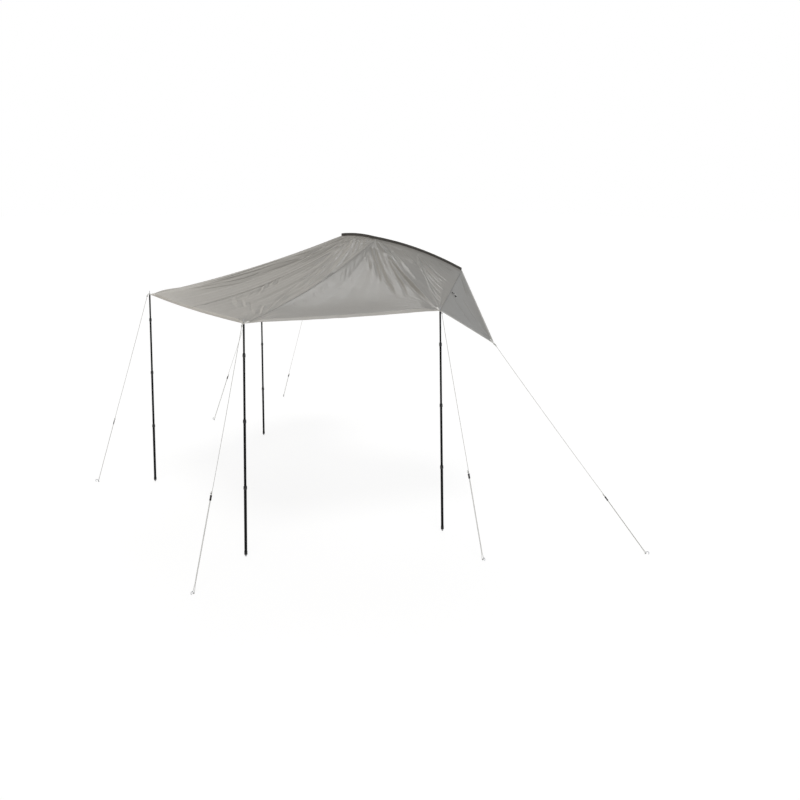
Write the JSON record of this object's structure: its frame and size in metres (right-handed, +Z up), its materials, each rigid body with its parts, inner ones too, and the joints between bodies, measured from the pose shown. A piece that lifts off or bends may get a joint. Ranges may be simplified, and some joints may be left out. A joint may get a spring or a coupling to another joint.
{
  "type": "rooftop tent awning",
  "caption": "Grey awning for a rooftop tent: a sewn canopy with two wings, held up by telescopic black poles and tensioned by guy lines to hook pegs.",
  "frame": {"origin": "on the ground, midway between the feet of the two inner poles", "axes": "+X along the vehicle towards its front, +Y across the vehicle towards the tent, +Z up"},
  "size_m": [6.586, 3.5452, 2.86],
  "materials": {
    "canopy_cloth": "warm light grey coated polyester, fine weave, faint sheen",
    "edge_tape": "black woven tape",
    "corner_eyelet": "pale beige webbing corner with a pressed eyelet",
    "guy_rope": "pale grey braided cord",
    "peg_steel": "bright galvanised wire",
    "line_runner": "dark moulded plastic",
    "pole_tube": "black satin tube",
    "pole_foot": "black rubber",
    "twist_lock": "black moulded plastic"
  },
  "bodies": {
    "root": {"roof_panel": "canopy_cloth", "front_side_panel": "canopy_cloth", "rear_side_panel": "canopy_cloth", "front_wing": "canopy_cloth", "rear_wing": "canopy_cloth", "upper_edge_tape": "edge_tape", "front_inner_eyelet": "corner_eyelet", "rear_inner_eyelet": "corner_eyelet", "front_outer_eyelet": "corner_eyelet", "rear_outer_eyelet": "corner_eyelet", "rear_outer_guy_line": "guy_rope", "rear_outer_peg": "peg_steel", "front_outer_guy_line": "guy_rope", "front_outer_peg": "peg_steel", "rear_inner_guy_line": "guy_rope", "rear_inner_peg": "peg_steel", "front_inner_guy_line": "guy_rope", "front_inner_peg": "peg_steel", "rear_wing_guy_line": "guy_rope", "rear_wing_peg": "peg_steel", "front_wing_guy_line": "guy_rope", "front_wing_peg": "peg_steel"},
    "front_inner_top": {"front_inner_top_tube": "pole_tube"},
    "front_inner_upper": {"front_inner_upper_tube": "pole_tube"},
    "front_inner_lower": {"front_inner_lower_tube": "pole_tube"},
    "front_inner_bottom": {"front_inner_bottom_tube": "pole_tube", "front_inner_foot": "pole_foot"},
    "front_inner_lock_high": {"front_inner_collar_high": "twist_lock"},
    "front_inner_lock_mid": {"front_inner_collar_mid": "twist_lock"},
    "front_inner_lock_low": {"front_inner_collar_low": "twist_lock"},
    "rear_inner_top": {"rear_inner_top_tube": "pole_tube"},
    "rear_inner_upper": {"rear_inner_upper_tube": "pole_tube"},
    "rear_inner_lower": {"rear_inner_lower_tube": "pole_tube"},
    "rear_inner_bottom": {"rear_inner_bottom_tube": "pole_tube", "rear_inner_foot": "pole_foot"},
    "rear_inner_lock_high": {"rear_inner_collar_high": "twist_lock"},
    "rear_inner_lock_mid": {"rear_inner_collar_mid": "twist_lock"},
    "rear_inner_lock_low": {"rear_inner_collar_low": "twist_lock"},
    "front_outer_top": {"front_outer_top_tube": "pole_tube"},
    "front_outer_upper": {"front_outer_upper_tube": "pole_tube"},
    "front_outer_lower": {"front_outer_lower_tube": "pole_tube"},
    "front_outer_bottom": {"front_outer_bottom_tube": "pole_tube", "front_outer_foot": "pole_foot"},
    "front_outer_lock_high": {"front_outer_collar_high": "twist_lock"},
    "front_outer_lock_mid": {"front_outer_collar_mid": "twist_lock"},
    "front_outer_lock_low": {"front_outer_collar_low": "twist_lock"},
    "rear_outer_top": {"rear_outer_top_tube": "pole_tube"},
    "rear_outer_upper": {"rear_outer_upper_tube": "pole_tube"},
    "rear_outer_lower": {"rear_outer_lower_tube": "pole_tube"},
    "rear_outer_bottom": {"rear_outer_bottom_tube": "pole_tube", "rear_outer_foot": "pole_foot"},
    "rear_outer_lock_high": {"rear_outer_collar_high": "twist_lock"},
    "rear_outer_lock_mid": {"rear_outer_collar_mid": "twist_lock"},
    "rear_outer_lock_low": {"rear_outer_collar_low": "twist_lock"},
    "rear_outer_runner_slide": {"rear_outer_runner": "line_runner"},
    "front_outer_runner_slide": {"front_outer_runner": "line_runner"},
    "rear_inner_runner_slide": {"rear_inner_runner": "line_runner"},
    "front_inner_runner_slide": {"front_inner_runner": "line_runner"},
    "rear_wing_runner_slide": {"rear_wing_runner": "line_runner"},
    "front_wing_runner_slide": {"front_wing_runner": "line_runner"}
  },
  "joints": [
    {"name": "front_inner_splay", "type": "hinge", "parent": "root", "child": "front_inner_top", "pos_m": [1.672, -0.001, 2.119], "axis": [0, 1, 0], "range_deg": [-8, 8]},
    {"name": "front_inner_top_draw", "type": "slide", "parent": "front_inner_top", "child": "front_inner_upper", "axis": [-0.0533, -0.0005, 0.9986], "range_m": [-0.29, 0.2]},
    {"name": "front_inner_upper_draw", "type": "slide", "parent": "front_inner_upper", "child": "front_inner_lower", "axis": [-0.0533, -0.0005, 0.9986], "range_m": [0, 0.52]},
    {"name": "front_inner_lower_draw", "type": "slide", "parent": "front_inner_lower", "child": "front_inner_bottom", "axis": [-0.0533, -0.0005, 0.9986], "range_m": [0, 0.535]},
    {"name": "front_inner_lock_high_twist", "type": "hinge", "parent": "front_inner_upper", "child": "front_inner_lock_high", "pos_m": [1.68846, -0.00085, 1.81043], "axis": [-0.0533, -0.0005, 0.9986], "range_deg": [0, 120]},
    {"name": "front_inner_lock_mid_twist", "type": "hinge", "parent": "front_inner_lower", "child": "front_inner_lock_mid", "pos_m": [1.71881, -0.00059, 1.24124], "axis": [-0.0533, -0.0005, 0.9986], "range_deg": [0, 120]},
    {"name": "front_inner_lock_low_twist", "type": "hinge", "parent": "front_inner_bottom", "child": "front_inner_lock_low", "pos_m": [1.75076, -0.0003, 0.64209], "axis": [-0.0533, -0.0005, 0.9986], "range_deg": [0, 120]},
    {"name": "rear_inner_splay", "type": "hinge", "parent": "root", "child": "rear_inner_top", "pos_m": [-1.672, -0.001, 2.119], "axis": [0, 1, 0], "range_deg": [-8, 8]},
    {"name": "rear_inner_top_draw", "type": "slide", "parent": "rear_inner_top", "child": "rear_inner_upper", "axis": [0.0533, -0.0005, 0.9986], "range_m": [-0.29, 0.2]},
    {"name": "rear_inner_upper_draw", "type": "slide", "parent": "rear_inner_upper", "child": "rear_inner_lower", "axis": [0.0533, -0.0005, 0.9986], "range_m": [0, 0.52]},
    {"name": "rear_inner_lower_draw", "type": "slide", "parent": "rear_inner_lower", "child": "rear_inner_bottom", "axis": [0.0533, -0.0005, 0.9986], "range_m": [0, 0.535]},
    {"name": "rear_inner_lock_high_twist", "type": "hinge", "parent": "rear_inner_upper", "child": "rear_inner_lock_high", "pos_m": [-1.68846, -0.00085, 1.81043], "axis": [0.0533, -0.0005, 0.9986], "range_deg": [0, 120]},
    {"name": "rear_inner_lock_mid_twist", "type": "hinge", "parent": "rear_inner_lower", "child": "rear_inner_lock_mid", "pos_m": [-1.71881, -0.00059, 1.24124], "axis": [0.0533, -0.0005, 0.9986], "range_deg": [0, 120]},
    {"name": "rear_inner_lock_low_twist", "type": "hinge", "parent": "rear_inner_bottom", "child": "rear_inner_lock_low", "pos_m": [-1.75076, -0.0003, 0.64209], "axis": [0.0533, -0.0005, 0.9986], "range_deg": [0, 120]},
    {"name": "front_outer_splay", "type": "hinge", "parent": "root", "child": "front_outer_top", "pos_m": [1.064, -1.624, 2.082], "axis": [1, 0, 0], "range_deg": [-8, 8]},
    {"name": "front_outer_top_draw", "type": "slide", "parent": "front_outer_top", "child": "front_outer_upper", "axis": [-0.0134, 0.0513, 0.9986], "range_m": [-0.29, 0.2]},
    {"name": "front_outer_upper_draw", "type": "slide", "parent": "front_outer_upper", "child": "front_outer_lower", "axis": [-0.0134, 0.0513, 0.9986], "range_m": [0, 0.52]},
    {"name": "front_outer_lower_draw", "type": "slide", "parent": "front_outer_lower", "child": "front_outer_bottom", "axis": [-0.0134, 0.0513, 0.9986], "range_m": [0, 0.535]},
    {"name": "front_outer_lock_high_twist", "type": "hinge", "parent": "front_outer_upper", "child": "front_outer_lock_high", "pos_m": [1.06765, -1.63796, 1.81045], "axis": [-0.0134, 0.0513, 0.9986], "range_deg": [0, 120]},
    {"name": "front_outer_lock_mid_twist", "type": "hinge", "parent": "front_outer_lower", "child": "front_outer_lock_mid", "pos_m": [1.07531, -1.66721, 1.24125], "axis": [-0.0134, 0.0513, 0.9986], "range_deg": [0, 120]},
    {"name": "front_outer_lock_low_twist", "type": "hinge", "parent": "front_outer_bottom", "child": "front_outer_lock_low", "pos_m": [1.08336, -1.698, 0.64209], "axis": [-0.0134, 0.0513, 0.9986], "range_deg": [0, 120]},
    {"name": "rear_outer_splay", "type": "hinge", "parent": "root", "child": "rear_outer_top", "pos_m": [-1.064, -1.624, 2.082], "axis": [1, 0, 0], "range_deg": [-8, 8]},
    {"name": "rear_outer_top_draw", "type": "slide", "parent": "rear_outer_top", "child": "rear_outer_upper", "axis": [0.0134, 0.0513, 0.9986], "range_m": [-0.29, 0.2]},
    {"name": "rear_outer_upper_draw", "type": "slide", "parent": "rear_outer_upper", "child": "rear_outer_lower", "axis": [0.0134, 0.0513, 0.9986], "range_m": [0, 0.52]},
    {"name": "rear_outer_lower_draw", "type": "slide", "parent": "rear_outer_lower", "child": "rear_outer_bottom", "axis": [0.0134, 0.0513, 0.9986], "range_m": [0, 0.535]},
    {"name": "rear_outer_lock_high_twist", "type": "hinge", "parent": "rear_outer_upper", "child": "rear_outer_lock_high", "pos_m": [-1.06765, -1.63796, 1.81045], "axis": [0.0134, 0.0513, 0.9986], "range_deg": [0, 120]},
    {"name": "rear_outer_lock_mid_twist", "type": "hinge", "parent": "rear_outer_lower", "child": "rear_outer_lock_mid", "pos_m": [-1.07531, -1.66721, 1.24125], "axis": [0.0134, 0.0513, 0.9986], "range_deg": [0, 120]},
    {"name": "rear_outer_lock_low_twist", "type": "hinge", "parent": "rear_outer_bottom", "child": "rear_outer_lock_low", "pos_m": [-1.08336, -1.698, 0.64209], "axis": [0.0134, 0.0513, 0.9986], "range_deg": [0, 120]},
    {"name": "rear_outer_runner_move", "type": "slide", "parent": "root", "child": "rear_outer_runner_slide", "axis": [0.1704, 0.2729, 0.9468], "range_m": [-0.604, 0]},
    {"name": "front_outer_runner_move", "type": "slide", "parent": "root", "child": "front_outer_runner_slide", "axis": [-0.1506, 0.3215, 0.9349], "range_m": [-0.657, 0]},
    {"name": "rear_inner_runner_move", "type": "slide", "parent": "root", "child": "rear_inner_runner_slide", "axis": [0.4574, 0.1014, 0.8834], "range_m": [-0.645, 0]},
    {"name": "front_inner_runner_move", "type": "slide", "parent": "root", "child": "front_inner_runner_slide", "axis": [-0.3336, 0.0451, 0.9416], "range_m": [-0.632, 0]},
    {"name": "rear_wing_runner_move", "type": "slide", "parent": "root", "child": "rear_wing_runner_slide", "axis": [0.6541, -0.1988, 0.7298], "range_m": [-0.474, 0]},
    {"name": "front_wing_runner_move", "type": "slide", "parent": "root", "child": "front_wing_runner_slide", "axis": [-0.6541, -0.1988, 0.7298], "range_m": [-0.474, 0]}
  ]
}
